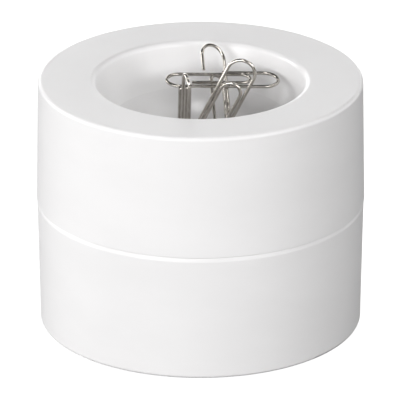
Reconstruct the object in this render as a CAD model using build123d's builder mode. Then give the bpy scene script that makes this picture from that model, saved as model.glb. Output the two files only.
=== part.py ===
from build123d import *
import os

os.makedirs("parts", exist_ok=True)

# ----------------------------------------------------------------------
# Magnetic paper clip holder: a round two-part case. The upper half holds
# the bowl and the magnet and lifts off the lower half, which is a weighted
# store for spare clips. Millimetres, +Z up, origin at the middle of the
# footprint on the table.
# ----------------------------------------------------------------------

# case, outside
HEIGHT = 59.0          # table to rim
R_SEAM_UP = 37.5       # upper half at the seam (widest point)
R_SEAM_LOW = 37.35     # lower half at the seam
R_TOP = 37.0           # upper half at the rim
R_BOTTOM = 36.85       # lower half at the bottom edge
Z_SEAM = 30.1          # shoulder of the lower half
Z_BOTTOM = 0.5         # bottom edge of the lower half, above the table
RIM_FILLET = 0.9       # outer rim edge
RIM_DISH = 0.25        # the rim falls this much towards the bowl
SEAM_SHOULDER = 0.9    # sloping top edge of the lower half, height
SEAM_SLOPE = 0.3       # and how far it leans in
SEAM_FILLET_UP = 0.15  # upper half's edge at the seam
BOTTOM_FILLET = 0.8

# bowl
BOWL_FLOOR = 40.0      # lowest point of the bowl
BOWL_RADIUS = 22.0     # curvature of the bowl wall
BOWL_FLAT = 2.2        # radius of the small flat in the middle
BOWL_WALL = 2.0
BOWL_LIP = 1.4         # round between the bowl and the flat rim
RIM_UNDERSIDE = 56.7

# lap joint between the halves
R_IN = 34.6            # inside wall of both halves
R_SPIGOT = 35.8        # spigot of the lower half, outside
SPIGOT_TOP = 34.6
R_LIP_IN = 35.95       # lip of the upper half, inside
LIP_STEP = 34.9
SHADOW_GAP = 0.10      # height of the dark line at the seam
R_GAP = 36.85          # depth of the dark line
SEAT = 0.04            # play under the lip

# magnet chamber under the bowl
POCKET_TOP = 38.5
POCKET_BOTTOM = 32.25
R_POCKET = 11.0
R_POCKET_OUT = 12.8
R_MAGNET = 10.85
BOSS_R = 2.8
BOSS_PCD = 16.0
PLATE_BOTTOM = 30.4
PLATE_TOP = 32.2
R_PLATE = 34.25

# lower half, inside
STORE_FLOOR = 8.0
FLOOR_UNDER = 6.0
R_STORE_FLOOR = 34.2
R_BALLAST = 26.5
R_RECESS = 33.5
R_LEDGE = 32.3
LEDGE = 2.75
COVER_BOTTOM = 0.75
COVER_TOP = 2.7
R_COVER = 33.3
COVER_PCD = 30.2
FOOT_IN, FOOT_OUT = 21.0, 26.5
FOOT_TOP = 1.58

# countersunk screws
SCREW_R = 1.05
PILOT_R = 1.1
CLEAR_R = 1.3
HEAD_R = 2.1
HEAD_H = 1.05
SINK_R = 2.25

# wire clips
WIRE_R = 0.4
WIRE_END = 0.12        # chamfer on the cut wire ends
CLIP_L = 26.4
CLIP_R1 = 3.2          # radius of the large end bend
CLIP_DROP = 6.4        # from the large bend to the inner bend


def gem_wire(inner_out, inner_in, end_outer, end_inner, drop=CLIP_DROP):
    """Centre line of a double-loop clip in its own plane, middle at 13 mm."""
    top = CLIP_L - WIRE_R - 13.0
    low = WIRE_R - 13.0
    r2 = (CLIP_R1 + inner_out) / 2
    r3 = (inner_out - inner_in) / 2
    y1 = top - CLIP_R1
    y2 = low + r2
    y3 = top - drop - r3
    Line((CLIP_R1, end_outer - 13.0), (CLIP_R1, y1))
    ThreePointArc((CLIP_R1, y1), (0, top), (-CLIP_R1, y1))
    Line((-CLIP_R1, y1), (-CLIP_R1, y2))
    ThreePointArc((-CLIP_R1, y2), (r2 - CLIP_R1, low), (inner_out, y2))
    Line((inner_out, y2), (inner_out, y3))
    ThreePointArc((inner_out, y3), (inner_out - r3, y3 + r3), (inner_in, y3))
    Line((inner_in, y3), (inner_in, end_inner - 13.0))


def clip_plane(middle, across, along):
    """Plane of a clip from its middle, width direction and length direction."""
    x = Vector(*across).normalized()
    y = Vector(*along)
    return Plane(origin=middle, x_dir=across, z_dir=x.cross(y))


# ----------------------------------------------------------------------
# lower half
# ----------------------------------------------------------------------
with BuildPart() as lower_shell:
    with BuildSketch(Plane.XZ) as lower_profile:
        with BuildLine():
            Polyline(
                (0, FLOOR_UNDER),
                (R_BALLAST + 0.25, FLOOR_UNDER),
                (R_BALLAST + 0.25, 3.3),
                (28.0, 3.3),
                (28.0, FLOOR_UNDER),
                (R_LEDGE, FLOOR_UNDER),
                (R_LEDGE, LEDGE),
                (R_RECESS, LEDGE),
                (R_RECESS, Z_BOTTOM),
                (R_BOTTOM, Z_BOTTOM),
                (R_SEAM_LOW, Z_SEAM - SEAM_SHOULDER),
                (R_SEAM_LOW - SEAM_SLOPE, Z_SEAM),
                (R_SPIGOT, Z_SEAM),
                (R_SPIGOT, SPIGOT_TOP),
                (R_IN, SPIGOT_TOP),
                (R_STORE_FLOOR, STORE_FLOOR),
                (0, STORE_FLOOR),
                close=True,
            )
        make_face()
        pts = lower_profile.vertices()
        fillet([v for v in pts if abs(v.X - R_BOTTOM) < 1e-4], BOTTOM_FILLET)
        fillet([v for v in lower_profile.vertices()
                if abs(v.X - R_SEAM_LOW) < 1e-4], 1.2)
        fillet([v for v in lower_profile.vertices()
                if abs(v.X - R_SEAM_LOW + SEAM_SLOPE) < 1e-4], 0.12)
        fillet([v for v in lower_profile.vertices()
                if abs(v.X - R_STORE_FLOOR) < 1e-4], 2.5)
        chamfer([v for v in lower_profile.vertices()
                 if abs(v.Y - SPIGOT_TOP) < 1e-4 and v.X > R_SPIGOT - 0.01], 0.5)
        fillet([v for v in lower_profile.vertices()
                if abs(v.Y - SPIGOT_TOP) < 1e-4 and v.X < R_IN + 0.01], 0.3)
    revolve(axis=Axis.Z)
    # screw bosses for the base cover
    with BuildSketch(Plane.XY.offset(LEDGE)):
        with PolarLocations(COVER_PCD, 3, start_angle=30):
            Circle(2.5)
    extrude(amount=FLOOR_UNDER - LEDGE + 0.5)
    with BuildSketch(Plane.XY.offset(LEDGE)):
        with PolarLocations(COVER_PCD, 3, start_angle=30):
            Circle(PILOT_R)
    extrude(amount=4.2, mode=Mode.SUBTRACT)
lower_shell.part.label = "lower_shell"
export_step(lower_shell.part, "parts/lower_shell.step")

with BuildPart() as ballast_disc:
    with BuildSketch(Plane.XY.offset(2.8)):
        Circle(R_BALLAST)
    extrude(amount=3.0)
    chamfer(ballast_disc.edges().filter_by(GeomType.CIRCLE), 0.4)
ballast_disc.part.label = "ballast_disc"
export_step(ballast_disc.part, "parts/ballast_disc.step")

with BuildPart() as base_cover:
    with BuildSketch(Plane.XZ) as cover_profile:
        with BuildLine():
            Polyline(
                (0, COVER_BOTTOM),
                (FOOT_IN - 0.1, COVER_BOTTOM),
                (FOOT_IN - 0.1, 1.6),
                (FOOT_OUT + 0.1, 1.6),
                (FOOT_OUT + 0.1, COVER_BOTTOM),
                (R_COVER, COVER_BOTTOM),
                (R_COVER, COVER_TOP),
                (0, COVER_TOP),
                close=True,
            )
        make_face()
        fillet([v for v in cover_profile.vertices()
                if abs(v.X - R_COVER) < 1e-4 and v.Y < 1], 0.35)
    revolve(axis=Axis.Z)
    with BuildSketch(Plane.XY.offset(COVER_BOTTOM)):
        with PolarLocations(COVER_PCD, 3, start_angle=30):
            Circle(CLEAR_R)
    extrude(amount=3.0, mode=Mode.SUBTRACT)
    with Locations((0, 0, COVER_BOTTOM)):
        with PolarLocations(COVER_PCD, 3, start_angle=30):
            Cone(SINK_R, CLEAR_R, SINK_R - CLEAR_R,
                 align=(Align.CENTER, Align.CENTER, Align.MIN), mode=Mode.SUBTRACT)
base_cover.part.label = "base_cover"
export_step(base_cover.part, "parts/base_cover.step")

with BuildPart() as cover_screw:
    with BuildSketch(Plane.XZ):
        with BuildLine():
            Polyline(
                (0, COVER_BOTTOM + 0.05),
                (HEAD_R, COVER_BOTTOM + 0.05),
                (HEAD_R, COVER_BOTTOM + 0.12),
                (SCREW_R, COVER_BOTTOM + 0.12 + HEAD_H),
                (SCREW_R, 5.8),
                (0.45, 6.6),
                (0, 6.6),
                close=True,
            )
        make_face()
    revolve(axis=Axis.Z)
    with BuildSketch(Plane.XY.offset(COVER_BOTTOM)):
        Rectangle(2.3, 0.5)
        Rectangle(0.5, 2.3)
    extrude(amount=0.75, mode=Mode.SUBTRACT)

with BuildPart() as cover_screws:
    with PolarLocations(COVER_PCD, 3, start_angle=30):
        add(cover_screw.part)
cover_screws.part.label = "cover_screws"
export_step(cover_screws.part, "parts/cover_screws.step")

with BuildPart() as foot_ring:
    with BuildSketch(Plane.XZ) as foot_profile:
        with BuildLine():
            Polyline((FOOT_IN, 0), (FOOT_OUT, 0), (FOOT_OUT, FOOT_TOP),
                     (FOOT_IN, FOOT_TOP), close=True)
        make_face()
        fillet([v for v in foot_profile.vertices() if v.Y < 0.1], 0.3)
    revolve(axis=Axis.Z)
foot_ring.part.label = "foot_ring"
export_step(foot_ring.part, "parts/foot_ring.step")

# ----------------------------------------------------------------------
# upper half
# ----------------------------------------------------------------------
Z_BOWL_C = BOWL_FLOOR + BOWL_RADIUS
R_OUT_BOWL = BOWL_RADIUS + BOWL_WALL


def bowl_r(z, radius):
    return BOWL_FLAT + (radius ** 2 - (Z_BOWL_C - z) ** 2) ** 0.5


def bowl_z(r, radius):
    return Z_BOWL_C - (radius ** 2 - (r - BOWL_FLAT) ** 2) ** 0.5


def arc_mid(z, radius):
    return (bowl_r(z, radius), z)


Z_MOUTH = HEIGHT - RIM_DISH
R_MOUTH = bowl_r(Z_MOUTH, BOWL_RADIUS)
R_UNDER = bowl_r(RIM_UNDERSIDE, R_OUT_BOWL)
Z_POCKET_OUT = bowl_z(R_POCKET_OUT, R_OUT_BOWL)

# screw bosses, ended inside the bowl wall
with BuildPart() as bosses:
    with BuildSketch(Plane.XY.offset(POCKET_BOTTOM)):
        with PolarLocations(BOSS_PCD, 3, start_angle=90):
            Circle(BOSS_R)
    extrude(amount=18)
    with BuildSketch(Plane.XZ):
        with BuildLine():
            Polyline((0, BOWL_FLOOR - 1), (0, 30), (24, 30),
                     (24, bowl_z(24, BOWL_RADIUS + 1)))
            ThreePointArc((24, bowl_z(24, BOWL_RADIUS + 1)),
                          arc_mid(45.0, BOWL_RADIUS + 1),
                          (BOWL_FLAT, BOWL_FLOOR - 1))
            Line((BOWL_FLAT, BOWL_FLOOR - 1), (0, BOWL_FLOOR - 1))
        make_face()
    revolve(axis=Axis.Z, mode=Mode.INTERSECT)

with BuildPart() as upper_shell:
    with BuildSketch(Plane.XZ) as upper_profile:
        with BuildLine():
            Polyline(
                (0, BOWL_FLOOR),
                (0, POCKET_TOP),
                (R_POCKET, POCKET_TOP),
                (R_POCKET, POCKET_BOTTOM),
                (R_POCKET_OUT, POCKET_BOTTOM),
                (R_POCKET_OUT, Z_POCKET_OUT),
            )
            ThreePointArc((R_POCKET_OUT, Z_POCKET_OUT), arc_mid(48.0, R_OUT_BOWL),
                          (R_UNDER, RIM_UNDERSIDE))
            Polyline(
                (R_UNDER, RIM_UNDERSIDE),
                (R_IN + 0.1, RIM_UNDERSIDE),
                (R_IN, LIP_STEP),
                (R_LIP_IN, LIP_STEP),
                (R_LIP_IN, Z_SEAM + SEAT),
                (R_GAP, Z_SEAM + SEAT),
                (R_GAP, Z_SEAM + SEAT + SHADOW_GAP),
                (R_SEAM_UP, Z_SEAM + SEAT + SHADOW_GAP),
                (R_TOP, HEIGHT),
                (R_MOUTH, Z_MOUTH),
            )
            ThreePointArc((R_MOUTH, Z_MOUTH), arc_mid(48.0, BOWL_RADIUS),
                          (BOWL_FLAT, BOWL_FLOOR))
            Line((BOWL_FLAT, BOWL_FLOOR), (0, BOWL_FLOOR))
        make_face()
        fillet([v for v in upper_profile.vertices()
                if abs(v.X - R_TOP) < 1e-4], RIM_FILLET)
        fillet([v for v in upper_profile.vertices()
                if abs(v.X - R_MOUTH) < 1e-4 and abs(v.Y - Z_MOUTH) < 1e-4], BOWL_LIP)
        fillet([v for v in upper_profile.vertices()
                if abs(v.X - R_SEAM_UP) < 1e-4], SEAM_FILLET_UP)
        fillet([v for v in upper_profile.vertices()
                if abs(v.X - R_IN - 0.1) < 1e-4 and v.Y > 50], 1.2)
        fillet([v for v in upper_profile.vertices()
                if abs(v.X - R_LIP_IN) < 1e-4 and v.Y < 32], 0.25)
    revolve(axis=Axis.Z)
    add(bosses.part)
    with BuildSketch(Plane.XY.offset(POCKET_BOTTOM)):
        with PolarLocations(BOSS_PCD, 3, start_angle=90):
            Circle(PILOT_R)
    extrude(amount=7.5, mode=Mode.SUBTRACT)
upper_shell.part.label = "upper_shell"
export_step(upper_shell.part, "parts/upper_shell.step")

with BuildPart() as magnet_disc:
    with BuildSketch(Plane.XY.offset(33.54)):
        Circle(R_MAGNET)
    extrude(amount=4.88)
    fillet(magnet_disc.edges().filter_by(GeomType.CIRCLE), 0.4)
magnet_disc.part.label = "magnet_disc"
export_step(magnet_disc.part, "parts/magnet_disc.step")

with BuildPart() as magnet_back_plate:
    with BuildSketch(Plane.XY.offset(32.3)):
        Circle(R_MAGNET)
    extrude(amount=1.2)
    chamfer(magnet_back_plate.edges().filter_by(GeomType.CIRCLE), 0.2)
magnet_back_plate.part.label = "magnet_back_plate"
export_step(magnet_back_plate.part, "parts/magnet_back_plate.step")

with BuildPart() as under_plate:
    with BuildSketch(Plane.XZ) as plate_profile:
        with BuildLine():
            Polyline(
                (0, PLATE_BOTTOM),
                (R_PLATE, PLATE_BOTTOM),
                (R_PLATE, PLATE_TOP),
                (0, PLATE_TOP),
                close=True,
            )
        make_face()
        fillet([v for v in plate_profile.vertices()
                if v.X > 1 and v.Y < PLATE_BOTTOM + 0.1], 0.5)
    revolve(axis=Axis.Z)
    with BuildSketch(Plane.XY.offset(PLATE_BOTTOM)):
        with PolarLocations(BOSS_PCD, 3, start_angle=90):
            Circle(CLEAR_R)
    extrude(amount=3.0, mode=Mode.SUBTRACT)
    with Locations((0, 0, PLATE_BOTTOM)):
        with PolarLocations(BOSS_PCD, 3, start_angle=90):
            Cone(SINK_R, CLEAR_R, SINK_R - CLEAR_R,
                 align=(Align.CENTER, Align.CENTER, Align.MIN), mode=Mode.SUBTRACT)
under_plate.part.label = "under_plate"
export_step(under_plate.part, "parts/under_plate.step")

with BuildPart() as plate_screw:
    with BuildSketch(Plane.XZ):
        with BuildLine():
            Polyline(
                (0, PLATE_BOTTOM + 0.05),
                (HEAD_R, PLATE_BOTTOM + 0.05),
                (HEAD_R, PLATE_BOTTOM + 0.12),
                (SCREW_R, PLATE_BOTTOM + 0.12 + HEAD_H),
                (SCREW_R, 38.2),
                (0.45, 39.0),
                (0, 39.0),
                close=True,
            )
        make_face()
    revolve(axis=Axis.Z)
    with BuildSketch(Plane.XY.offset(PLATE_BOTTOM)):
        Rectangle(2.3, 0.5)
        Rectangle(0.5, 2.3)
    extrude(amount=0.75, mode=Mode.SUBTRACT)

with BuildPart() as plate_screws:
    with PolarLocations(BOSS_PCD, 3, start_angle=90):
        add(plate_screw.part)
plate_screws.part.label = "plate_screws"
export_step(plate_screws.part, "parts/plate_screws.step")

# ----------------------------------------------------------------------
# wire clips standing in the bowl
# ----------------------------------------------------------------------
with BuildPart() as clip_rear:
    with BuildLine(clip_plane((3.764, 10.213, 50.462), (-0.7851, -0.4803, 0.3911),
                              (-0.0855, 0.7095, 0.6995))) as rear_wire:
        gem_wire(1.3, -2.2, 19.0, 6.0, drop=7.6)
    with BuildSketch(Plane(origin=rear_wire.wires()[0] @ 0, z_dir=rear_wire.wires()[0] % 0)):
        Circle(WIRE_R)
    sweep(path=rear_wire.wires()[0])
    chamfer(clip_rear.faces().filter_by(GeomType.PLANE).edges(), WIRE_END)
clip_rear.part.label = "clip_rear"
export_step(clip_rear.part, "parts/clip_rear.step")

with BuildPart() as clip_crosswise:
    with BuildLine(clip_plane((4.830, 9.590, 54.888), (-0.0712, 0.9881, 0.1363),
                              (0.9964, 0.0768, -0.0364))) as cross_wire:
        gem_wire(2.4, -1.44, 13.3, 6.0)
    with BuildSketch(Plane(origin=cross_wire.wires()[0] @ 0, z_dir=cross_wire.wires()[0] % 0)):
        Circle(WIRE_R)
    sweep(path=cross_wire.wires()[0])
    chamfer(clip_crosswise.faces().filter_by(GeomType.PLANE).edges(), WIRE_END)
clip_crosswise.part.label = "clip_crosswise"
export_step(clip_crosswise.part, "parts/clip_crosswise.step")

with BuildPart() as clip_left:
    with BuildLine(clip_plane((-3.721, -7.743, 53.045), (-0.3199, 0.8789, 0.3538),
                              (-0.0206, 0.3669, -0.9300))) as left_wire:
        gem_wire(1.01, -1.05, 7.39, 3.42)
    with BuildSketch(Plane(origin=left_wire.wires()[0] @ 0, z_dir=left_wire.wires()[0] % 0)):
        Circle(WIRE_R)
    sweep(path=left_wire.wires()[0])
    chamfer(clip_left.faces().filter_by(GeomType.PLANE).edges(), WIRE_END)
clip_left.part.label = "clip_left"
export_step(clip_left.part, "parts/clip_left.step")

with BuildPart() as clip_leaning:
    with BuildLine(clip_plane((4.905, -0.208, 51.875), (0.8876, -0.1118, -0.4469),
                              (0.4368, -0.1035, 0.8936))) as leaning_wire:
        gem_wire(2.3, -2.35, 10.0, 6.0)
    with BuildSketch(Plane(origin=leaning_wire.wires()[0] @ 0, z_dir=leaning_wire.wires()[0] % 0)):
        Circle(WIRE_R)
    sweep(path=leaning_wire.wires()[0])
    chamfer(clip_leaning.faces().filter_by(GeomType.PLANE).edges(), WIRE_END)
clip_leaning.part.label = "clip_leaning"
export_step(clip_leaning.part, "parts/clip_leaning.step")
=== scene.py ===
import math

import bpy
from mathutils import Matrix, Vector

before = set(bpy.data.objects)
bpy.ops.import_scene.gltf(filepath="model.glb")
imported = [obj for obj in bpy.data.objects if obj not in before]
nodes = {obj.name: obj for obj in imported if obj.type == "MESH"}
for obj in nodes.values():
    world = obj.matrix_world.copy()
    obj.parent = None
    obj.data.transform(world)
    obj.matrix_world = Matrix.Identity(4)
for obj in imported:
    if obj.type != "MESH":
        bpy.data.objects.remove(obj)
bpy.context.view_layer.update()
scene = bpy.context.scene
scene.view_settings.view_transform = "Standard"
scene.view_settings.look = "None"

MM = 0.001


# ------------------------------------------------------------------ node helper
class Graph:
    """A material's node tree, with short ways to add and wire nodes."""

    def __init__(self, name):
        self.mat = bpy.data.materials.new(name)
        self.mat.use_nodes = True
        self.tree = self.mat.node_tree
        self.tree.nodes.clear()
        self.out = self.tree.nodes.new("ShaderNodeOutputMaterial")
        self.bsdf = self.tree.nodes.new("ShaderNodeBsdfPrincipled")
        self.link(self.bsdf.outputs["BSDF"], self.out.inputs["Surface"])
        self.pos = self.tree.nodes.new("ShaderNodeTexCoord").outputs["Object"]

    def link(self, a, b):
        self.tree.links.new(a, b)

    def put(self, socket, value):
        if isinstance(value, bpy.types.NodeSocket):
            self.link(value, socket)
        else:
            socket.default_value = value

    def math(self, op, a, b=0.0, clamp=False):
        n = self.tree.nodes.new("ShaderNodeMath")
        n.operation = op
        n.use_clamp = clamp
        self.put(n.inputs[0], a)
        self.put(n.inputs[1], b)
        return n.outputs[0]

    def vec(self, op, a, b=(0.0, 0.0, 0.0)):
        n = self.tree.nodes.new("ShaderNodeVectorMath")
        n.operation = op
        self.put(n.inputs[0], a)
        self.put(n.inputs[1], b)
        return n.outputs["Value"] if op in ("LENGTH", "DOT_PRODUCT") else n.outputs["Vector"]

    def split(self, v):
        n = self.tree.nodes.new("ShaderNodeSeparateXYZ")
        self.put(n.inputs[0], v)
        return n.outputs[0], n.outputs[1], n.outputs[2]

    def join(self, x, y, z):
        n = self.tree.nodes.new("ShaderNodeCombineXYZ")
        for s, v in zip(n.inputs, (x, y, z)):
            self.put(s, v)
        return n.outputs[0]

    def noise(self, vector, scale, detail=3.0, rough=0.5, distortion=0.0):
        n = self.tree.nodes.new("ShaderNodeTexNoise")
        self.put(n.inputs["Vector"], vector)
        n.inputs["Scale"].default_value = scale
        n.inputs["Detail"].default_value = detail
        n.inputs["Roughness"].default_value = rough
        n.inputs["Distortion"].default_value = distortion
        return n.outputs["Fac"]

    def cells(self, vector, scale, feature="F1", randomness=1.0):
        n = self.tree.nodes.new("ShaderNodeTexVoronoi")
        n.feature = feature
        self.put(n.inputs["Vector"], vector)
        n.inputs["Scale"].default_value = scale
        n.inputs["Randomness"].default_value = randomness
        return n.outputs["Distance"]

    def ramp(self, fac, lo, hi, out_lo=0.0, out_hi=1.0, smooth=True):
        n = self.tree.nodes.new("ShaderNodeMapRange")
        n.interpolation_type = "SMOOTHSTEP" if smooth else "LINEAR"
        self.put(n.inputs["Value"], fac)
        n.inputs["From Min"].default_value = lo
        n.inputs["From Max"].default_value = hi
        n.inputs["To Min"].default_value = out_lo
        n.inputs["To Max"].default_value = out_hi
        return n.outputs["Result"]

    def mix(self, fac, a, b, blend="MIX"):
        n = self.tree.nodes.new("ShaderNodeMix")
        n.data_type = "RGBA"
        n.blend_type = blend
        self.put(n.inputs["Factor"], fac)
        for s, v in ((n.inputs[6], a), (n.inputs[7], b)):
            self.put(s, v if isinstance(v, bpy.types.NodeSocket) else (*v, 1.0))
        return n.outputs[2]

    def bump(self, height, distance, strength=1.0, below=None):
        n = self.tree.nodes.new("ShaderNodeBump")
        n.inputs["Strength"].default_value = strength
        n.inputs["Distance"].default_value = distance
        self.put(n.inputs["Height"], height)
        if below is not None:
            self.link(below, n.inputs["Normal"])
        return n.outputs["Normal"]

    def done(self, **sockets):
        for name, value in sockets.items():
            s = self.bsdf.inputs[name.replace("_", " ")]
            if not isinstance(value, bpy.types.NodeSocket) and s.type == "RGBA":
                value = (*value, 1.0)
            self.put(s, value)
        return self.mat


# ------------------------------------------------------------------ materials
def white_moulding(name, tint, polish_bowl):
    """Smooth injection-moulded plastic. The bowl is smoother, and burnished low down by the clips; the outside has a fine moulded skin with faint handling marks."""
    g = Graph(name)
    x, y, z = g.split(g.pos)
    flat = g.join(x, y, 0.0)
    r = g.vec("LENGTH", flat)
    flow = g.noise(g.vec("MULTIPLY", g.pos, (1.0, 1.0, 2.2)), 34.0, 4.0, 0.55)
    grain = g.noise(g.pos, 2600.0, 2.0, 0.6)
    smear = g.ramp(g.noise(g.pos, 62.0, 5.0, 0.62, 0.6), 0.52, 0.74)
    # colour: two whites of one batch, and painted shade darkening the seam groove between the shells
    body = g.mix(g.ramp(flow, 0.3, 0.7), tint, tuple(c * 0.972 for c in tint))
    painted_seam_shade = g.math("MULTIPLY", g.ramp(z, 29.7 * MM, 30.05 * MM), g.ramp(z, 30.45 * MM, 30.25 * MM))
    painted_seam_shade = g.math("MULTIPLY", painted_seam_shade, g.ramp(r, 36.95 * MM, 36.5 * MM))
    # painted shade: in the seam groove the colour is pulled a quarter of the way to a darker grey
    body = g.mix(g.math("MULTIPLY", painted_seam_shade, 0.25), body, (0.50, 0.49, 0.47))
    # gloss: fine grain and smears everywhere, the bowl polished
    rough = g.math("ADD", 0.40, g.math("MULTIPLY", g.math("SUBTRACT", grain, 0.5), 0.10))
    rough = g.math("ADD", rough, g.math("MULTIPLY", smear, 0.05))
    shine = 0.42
    if polish_bowl:
        inside = g.math("MULTIPLY", g.ramp(r, 25.2 * MM, 24.0 * MM), g.ramp(z, 37.0 * MM, 39.0 * MM))
        hair = g.noise(g.vec("MULTIPLY", g.pos, (1.0, 1.0, 0.12)), 3800.0, 1.0, 0.4, 0.3)
        hair = g.math("MULTIPLY", g.ramp(hair, 0.66, 0.74), g.ramp(g.noise(g.pos, 150.0, 2.0), 0.46, 0.62))
        floor_zone = g.math("MULTIPLY", inside, g.ramp(z, 50.0 * MM, 44.5 * MM))
        polished = g.math("ADD", 0.28, g.math("MULTIPLY", hair, 0.08))
        polished = g.math("SUBTRACT", polished, g.math("MULTIPLY", floor_zone, 0.10))
        shine = g.math("ADD", 0.42, g.math("MULTIPLY", floor_zone, 0.25))
        rough = g.math(
            "ADD",
            g.math("MULTIPLY", rough, g.math("SUBTRACT", 1.0, inside)),
            g.math("MULTIPLY", polished, inside),
        )
    wave = g.bump(flow, 0.035 * MM, 0.25)
    skin = g.bump(grain, 0.004 * MM, 0.35, wave)
    return g.done(Base_Color=body, Roughness=rough, Normal=skin, IOR=1.5, Specular_IOR_Level=shine)


def eroded_plastic(name, dark, light, pitch, depth):
    """Plastic with the dull pitted skin of a spark-eroded mould."""
    g = Graph(name)
    x, y, z = g.split(g.pos)
    pits = g.cells(g.pos, pitch)
    grain = g.noise(g.pos, pitch * 0.6, 3.0, 0.65)
    cloud = g.noise(g.pos, 48.0, 4.0, 0.6, 0.4)
    r = g.vec("LENGTH", g.join(x, y, 0.0))
    rub = g.math("MULTIPLY", g.ramp(g.noise(g.vec("MULTIPLY", g.pos, (1.0, 1.0, 1.0)), 420.0, 3.0, 0.7), 0.55, 0.72), 0.35)
    base = g.mix(g.ramp(cloud, 0.3, 0.72), dark, light)
    base = g.mix(rub, base, tuple(min(1.0, c * 1.09) for c in light))
    # painted shade: pit centres, where the bump sinks, darkened toward a deeper grey
    base = g.mix(g.ramp(pits, 0.0, 0.5, 0.28, 0.0), base, tuple(c * 0.8 for c in dark))
    rough = g.math("ADD", 0.52, g.math("MULTIPLY", grain, 0.16))
    height = g.math("ADD", g.math("MULTIPLY", pits, 0.6), g.math("MULTIPLY", grain, 0.6))
    return g.done(Base_Color=base, Roughness=rough, Normal=g.bump(height, depth, 0.8), IOR=1.48)


def rubber(name):
    """Soft matt rubber with a fine bloom and worn high spots."""
    g = Graph(name)
    bloom = g.noise(g.pos, 130.0, 5.0, 0.65, 0.5)
    pores = g.cells(g.pos, 1500.0)
    grain = g.noise(g.pos, 2400.0, 2.0, 0.6)
    base = g.mix(g.ramp(bloom, 0.35, 0.75), (0.018, 0.018, 0.0185), (0.05, 0.05, 0.052))
    # painted shade: pore centres, where the bump sinks, darkened toward near-black
    base = g.mix(g.ramp(pores, 0.0, 0.25, 0.5, 0.0), base, (0.008, 0.008, 0.008))
    rough = g.math("ADD", 0.66, g.math("MULTIPLY", bloom, 0.2))
    height = g.math("ADD", g.math("MULTIPLY", grain, 0.5), g.math("MULTIPLY", pores, 0.5))
    return g.done(Base_Color=base, Roughness=rough, Normal=g.bump(height, 0.03 * MM, 0.7), IOR=1.52)


def plated_wire(name, across, through, along):
    """Drawn steel wire with a bright plating: faint streaks along its legs and a slightly cloudy finish."""
    g = Graph(name)
    u = g.vec("DOT_PRODUCT", g.pos, across)
    n = g.vec("DOT_PRODUCT", g.pos, through)
    l = g.vec("DOT_PRODUCT", g.pos, along)
    drawn = g.noise(g.join(u, n, g.math("MULTIPLY", l, 0.05)), 9000.0, 2.0, 0.6)
    cloud = g.noise(g.pos, 420.0, 4.0, 0.6, 0.3)
    nick = g.ramp(g.cells(g.pos, 900.0), 0.05, 0.12, 1.0, 0.0)
    nick = g.math("MULTIPLY", nick, g.ramp(g.noise(g.pos, 210.0, 2.0), 0.55, 0.66))
    base = g.mix(g.ramp(cloud, 0.3, 0.7), (0.47, 0.44, 0.40), (0.60, 0.57, 0.53))
    base = g.mix(g.math("MULTIPLY", nick, 0.3), base, (0.34, 0.32, 0.30))
    rough = g.math("ADD", 0.08, g.math("MULTIPLY", drawn, 0.05))
    rough = g.math("ADD", rough, g.math("MULTIPLY", g.ramp(cloud, 0.4, 0.8), 0.04))
    height = g.math("SUBTRACT", drawn, g.math("MULTIPLY", nick, 0.7))
    return g.done(Base_Color=base, Metallic=1.0, Roughness=rough, Normal=g.bump(height, 0.0015 * MM, 0.3))


def rolled_steel(name):
    """Blanked steel sheet with a thin zinc plating: rolling streaks and pale crystal patches."""
    g = Graph(name)
    streak = g.noise(g.vec("MULTIPLY", g.pos, (0.06, 1.0, 1.0)), 1600.0, 3.0, 0.6)
    spangle = g.cells(g.pos, 320.0)
    base = g.mix(g.ramp(spangle, 0.1, 0.7), (0.44, 0.45, 0.46), (0.60, 0.61, 0.62))
    rough = g.math("ADD", 0.28, g.math("MULTIPLY", streak, 0.2))
    return g.done(Base_Color=base, Metallic=1.0, Roughness=rough, Normal=g.bump(streak, 0.01 * MM, 0.4))


def ferrite(name):
    """Ground sintered magnet: charcoal, with open grains and grinding lines."""
    g = Graph(name)
    grains = g.cells(g.pos, 1700.0)
    ground = g.noise(g.vec("MULTIPLY", g.pos, (0.05, 1.0, 1.0)), 2600.0, 2.0, 0.55)
    base = g.mix(g.ramp(grains, 0.05, 0.5), (0.012, 0.012, 0.014), (0.032, 0.032, 0.036))
    rough = g.math("ADD", 0.38, g.math("MULTIPLY", ground, 0.25))
    height = g.math("ADD", g.math("MULTIPLY", ground, 0.7), g.math("MULTIPLY", grains, 0.3))
    return g.done(Base_Color=base, Roughness=rough, Normal=g.bump(height, 0.012 * MM, 0.6), IOR=1.9)


def screw_zinc(name):
    """Bright zinc-plated screw: fine turning marks and a cloudy plating."""
    g = Graph(name)
    cloud = g.noise(g.pos, 700.0, 4.0, 0.6, 0.4)
    turned = g.noise(g.vec("MULTIPLY", g.pos, (1.0, 1.0, 0.1)), 4200.0, 2.0, 0.5)
    base = g.mix(g.ramp(cloud, 0.32, 0.7), (0.47, 0.48, 0.49), (0.66, 0.66, 0.64))
    rough = g.math("ADD", 0.22, g.math("MULTIPLY", turned, 0.18))
    return g.done(Base_Color=base, Metallic=1.0, Roughness=rough, Normal=g.bump(turned, 0.008 * MM, 0.5))


def wear(node, material):
    ob = nodes[node]
    ob.data.materials.clear()
    ob.data.materials.append(material)


CASE = white_moulding("white_case", (0.80, 0.792, 0.793), True)
LOWER = white_moulding("white_case_lower", (0.80, 0.792, 0.793), False)
PLATE = eroded_plastic("white_plate", (0.74, 0.74, 0.735), (0.81, 0.81, 0.805), 1900.0, 0.02 * MM)
COVER = eroded_plastic("grey_cover", (0.235, 0.24, 0.25), (0.29, 0.295, 0.305), 1500.0, 0.035 * MM)
RUBBER = rubber("foot_rubber")
STEEL = rolled_steel("ballast_steel")
MAGNET = ferrite("magnet_ferrite")
SCREW = screw_zinc("plated_screw")

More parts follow.
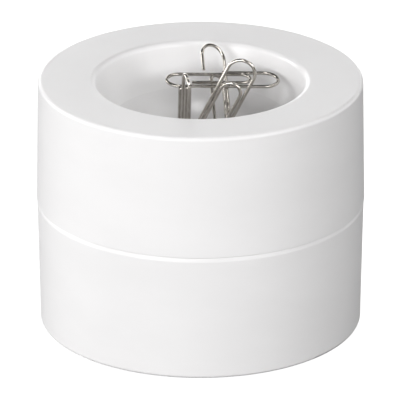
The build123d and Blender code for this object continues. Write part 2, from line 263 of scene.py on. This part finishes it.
wear("upper_shell", CASE)
wear("lower_shell", LOWER)
wear("under_plate", PLATE)
wear("base_cover", COVER)
wear("foot_ring", RUBBER)
wear("ballast_disc", STEEL)
wear("magnet_back_plate", STEEL)
wear("magnet_disc", MAGNET)
wear("plate_screws", SCREW)
wear("cover_screws", SCREW)

# each clip's own directions: across its width and along its length
CLIP_AXES = {
    "clip_rear": ((-0.7851, -0.4803, 0.3911), (-0.0855, 0.7095, 0.6995)),
    "clip_crosswise": ((-0.0712, 0.9881, 0.1363), (0.9964, 0.0768, -0.0364)),
    "clip_left": ((-0.3199, 0.8789, 0.3538), (-0.0206, 0.3669, -0.9300)),
    "clip_leaning": ((0.8876, -0.1118, -0.4469), (0.4368, -0.1035, 0.8936)),
}
for clip, (across, along) in CLIP_AXES.items():
    a, l = Vector(across).normalized(), Vector(along).normalized()
    wear(clip, plated_wire(clip + "_wire", tuple(a), tuple(a.cross(l).normalized()), tuple(l)))


# ------------------------------------------------------------------ floor
FLOOR_GLOW = 1.0
bpy.ops.mesh.primitive_plane_add(size=6.0, location=(0, 0, 0))
floor = bpy.context.object
floor.name = "floor"
fg = bpy.data.materials.new("floor_white")
fg.use_nodes = True
ft = fg.node_tree
fb = ft.nodes["Principled BSDF"]
fb.inputs["Base Color"].default_value = (0.20, 0.20, 0.20, 1)
fb.inputs["Roughness"].default_value = 0.9
fb.inputs["Specular IOR Level"].default_value = 0.0
fb.inputs["Emission Color"].default_value = (1, 1, 1, 1)
fb.inputs["Emission Strength"].default_value = FLOOR_GLOW
floor.data.materials.append(fg)
floor.visible_diffuse = False
floor.visible_glossy = False
floor.visible_shadow = False

# ------------------------------------------------------------------ light
world = bpy.data.worlds.new("studio")
scene.world = world
world.use_nodes = True
WORLD = world.node_tree.nodes["Background"]
WORLD.inputs["Strength"].default_value = 1.0
# white studio walls: brightness by height, from straight down (0) to straight up (1)
SKY = [(0.0, 0.12), (0.42, 0.12), (0.55, 0.12), (0.67, 0.12), (0.82, 0.12), (1.0, 0.12)]
w_dir = world.node_tree.nodes.new("ShaderNodeTexCoord")
w_sep = world.node_tree.nodes.new("ShaderNodeSeparateXYZ")
w_map = world.node_tree.nodes.new("ShaderNodeMapRange")
w_map.inputs["From Min"].default_value = -1.0
w_map.inputs["From Max"].default_value = 1.0
w_ramp = world.node_tree.nodes.new("ShaderNodeValToRGB")
for i, (at, level) in enumerate(SKY):
    stop = w_ramp.color_ramp.elements[i] if i < 2 else w_ramp.color_ramp.elements.new(at)
    stop.position = at
    stop.color = (level, level, level, 1.0)
world.node_tree.links.new(w_dir.outputs["Generated"], w_sep.inputs[0])
world.node_tree.links.new(w_sep.outputs["Z"], w_map.inputs["Value"])
world.node_tree.links.new(w_map.outputs["Result"], w_ramp.inputs["Fac"])
world.node_tree.links.new(w_ramp.outputs["Color"], WORLD.inputs["Color"])

AIM = Vector((0.0, 0.0, 0.045))
# name, azimuth (0 in front, negative to the left), elevation, distance, width, height, power
LIGHTS = [
    ("overhead", 0.0, 76.0, 0.9, 0.20, 0.20, 1.0),
    ("key", -34.0, 24.0, 0.9, 0.80, 0.30, 0.7),
    ("key_low", -30.0, 9.0, 0.9, 0.80, 0.26, 5.9),
    ("side_low", -80.0, 3.0, 0.9, 0.25, 0.25, 1.2),
    ("left_wide", -105.0, 10.0, 0.9, 0.45, 0.45, 2.85),
    ("left_back", -120.0, 15.0, 0.9, 0.12, 0.12, 1.2),
    ("back_left", -165.0, 10.0, 0.9, 0.45, 0.45, 2.4),
    ("back_right", 165.0, 10.0, 0.9, 0.45, 0.45, 1.3),
    ("fill_right", 41.0, 22.0, 0.9, 0.85, 0.28, 4.2),
    ("fill_side", 125.0, 10.0, 0.9, 0.45, 0.45, 1.3),
    ("fill_high", 105.0, 58.0, 0.9, 0.45, 0.45, 1.0),
]


def softbox(name, azimuth, elevation, distance, width, height, power):
    a, e = math.radians(azimuth), math.radians(elevation)
    back = Vector((math.sin(a) * math.cos(e), -math.cos(a) * math.cos(e), math.sin(e)))
    data = bpy.data.lights.new(name, "AREA")
    data.shape = "RECTANGLE"
    data.size = width
    data.size_y = height
    data.energy = power
    ob = bpy.data.objects.new(name, data)
    scene.collection.objects.link(ob)
    ob.location = AIM + back * distance
    ob.rotation_euler = (-back).to_track_quat("-Z", "Y").to_euler()
    return ob


for row in LIGHTS:
    softbox(*row)

# ------------------------------------------------------------------ camera
ELEVATION = math.radians(22.3531)
DISTANCE = 1.4
TARGET = Vector((0.0, 0.0, 0.0289941))
cam = bpy.data.cameras.new("camera")
cam.sensor_fit = "HORIZONTAL"
cam.sensor_width = 36.0
cam.lens = 36.0 * 6106.8865 / 400.0
cam.shift_x = -0.5625 / 400.0
cam.clip_start, cam.clip_end = 0.1, 20.0
camera = bpy.data.objects.new("camera", cam)
scene.collection.objects.link(camera)
away = Vector((0.0, -math.cos(ELEVATION), math.sin(ELEVATION)))
camera.location = TARGET + away * DISTANCE
camera.rotation_euler = (-away).to_track_quat("-Z", "Y").to_euler()
scene.camera = camera

bpy.context.view_layer.update()
